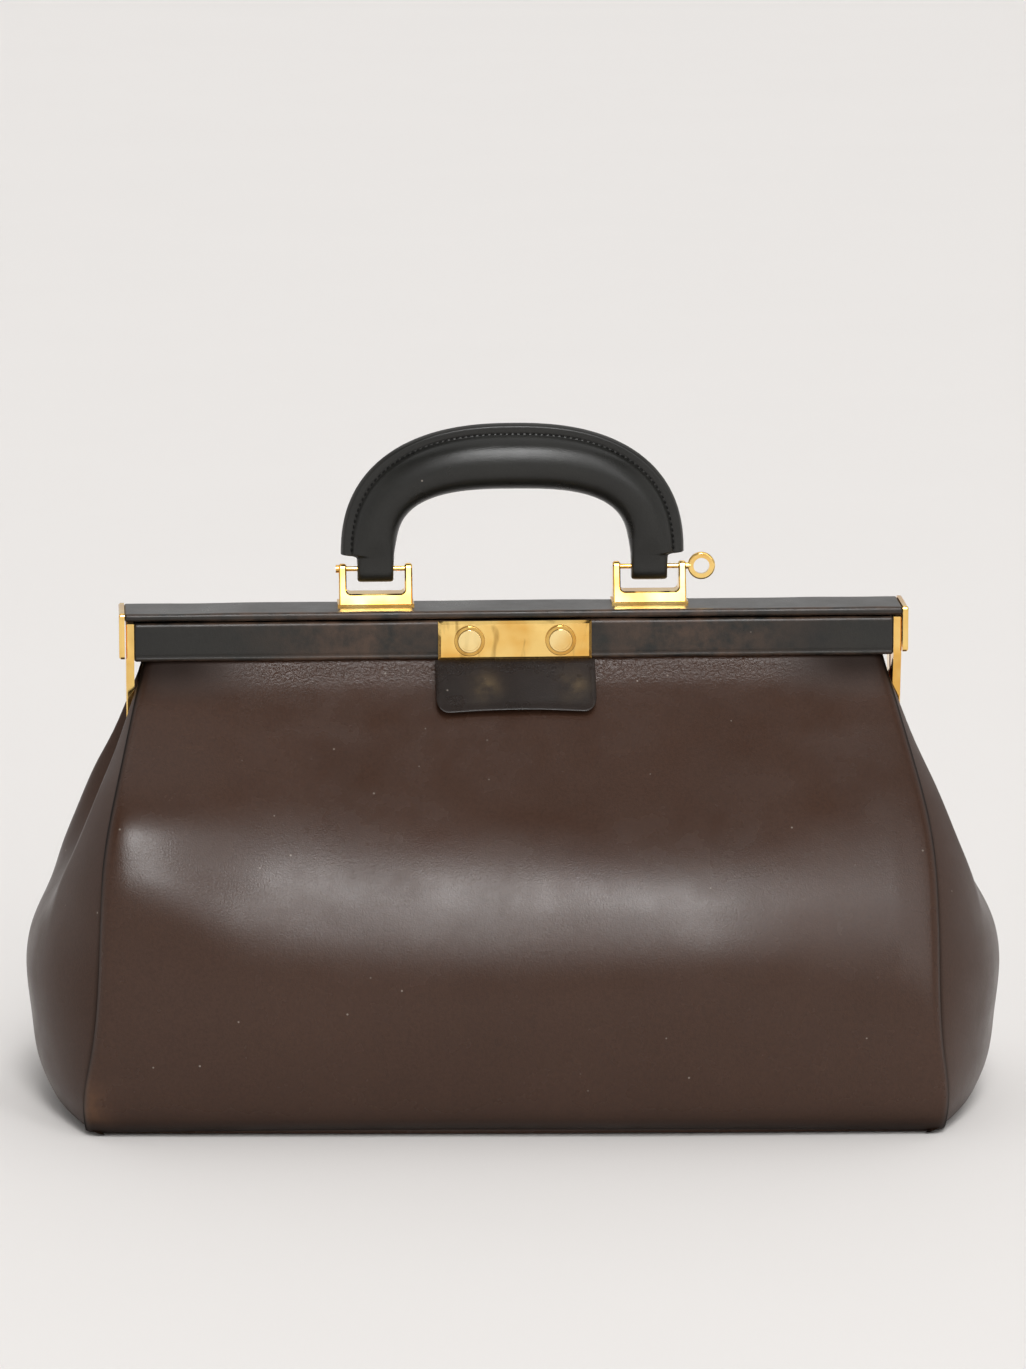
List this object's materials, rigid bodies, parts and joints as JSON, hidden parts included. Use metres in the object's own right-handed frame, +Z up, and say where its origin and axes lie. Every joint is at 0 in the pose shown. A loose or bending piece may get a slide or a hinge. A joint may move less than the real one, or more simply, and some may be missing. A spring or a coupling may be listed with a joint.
{
  "type": "leather handbag",
  "caption": "Leather handbag with a hinged two-bar metal frame, pleated side gussets, a push-button clasp and a stitched top handle on swivel brackets.",
  "frame": {"origin": "under the middle of the base, on the surface that the bag stands on", "axes": "+X to the right along the frame bars, +Y to the back, +Z up"},
  "size_m": [0.3884, 0.1864, 0.2699],
  "materials": {
    "brown_leather": "smooth glossy dark brown",
    "black_leather": "smooth semi-gloss black",
    "gold_metal": "polished gold",
    "steel": "plain",
    "board": "matt"
  },
  "bodies": {
    "body": {"front_panel": "brown_leather", "back_panel": "brown_leather", "left_gusset": "brown_leather", "right_gusset": "brown_leather", "base_panel": "brown_leather", "base_board": "board"},
    "front_frame": {"front_bar_cover": "black_leather", "front_channel": "steel", "left_front_arm": "gold_metal", "right_front_arm": "gold_metal", "clasp_plate": "gold_metal", "left_button_collar": "gold_metal", "right_button_collar": "gold_metal", "lock_case": "steel", "pull_tab": "black_leather"},
    "rear_frame": {"rear_bar_cover": "black_leather", "rear_channel": "steel", "left_rear_arm": "gold_metal", "right_rear_arm": "gold_metal", "left_pivot_pin": "gold_metal", "right_pivot_pin": "gold_metal", "left_end_cap": "gold_metal", "right_end_cap": "gold_metal", "striker_plate": "steel", "left_handle_bracket": "gold_metal", "right_handle_bracket": "gold_metal", "bracket_screws": "steel", "left_handle_pin": "gold_metal", "ring_pin": "gold_metal"},
    "handle": {"handle": "black_leather"},
    "left_button": {"left_button": "gold_metal"},
    "right_button": {"right_button": "gold_metal"}
  },
  "joints": [
    {"name": "front_frame_hinge", "type": "hinge", "parent": "body", "child": "front_frame", "pos_m": [0, 0, 0.1352], "axis": [1, 0, 0], "range_deg": [0, 60], "deforming": ["front_panel"]},
    {"name": "rear_frame_hinge", "type": "hinge", "parent": "body", "child": "rear_frame", "pos_m": [0, 0, 0.1352], "axis": [-1, 0, 0], "range_deg": [0, 60], "deforming": ["back_panel", "left_gusset", "right_gusset"]},
    {"name": "handle_hinge", "type": "hinge", "parent": "rear_frame", "child": "handle", "pos_m": [0, 0.0045, 0.2117], "axis": [1, 0, 0], "range_deg": [-105, 105]},
    {"name": "left_button_press", "type": "slide", "parent": "front_frame", "child": "left_button", "axis": [0, 1, 0], "range_m": [0, 0.0015], "stiffness_N_per_m": 1500, "springref_m": -0.0007},
    {"name": "right_button_press", "type": "slide", "parent": "front_frame", "child": "right_button", "axis": [0, 1, 0], "range_m": [0, 0.0015], "stiffness_N_per_m": 1500, "springref_m": -0.0007}
  ]
}
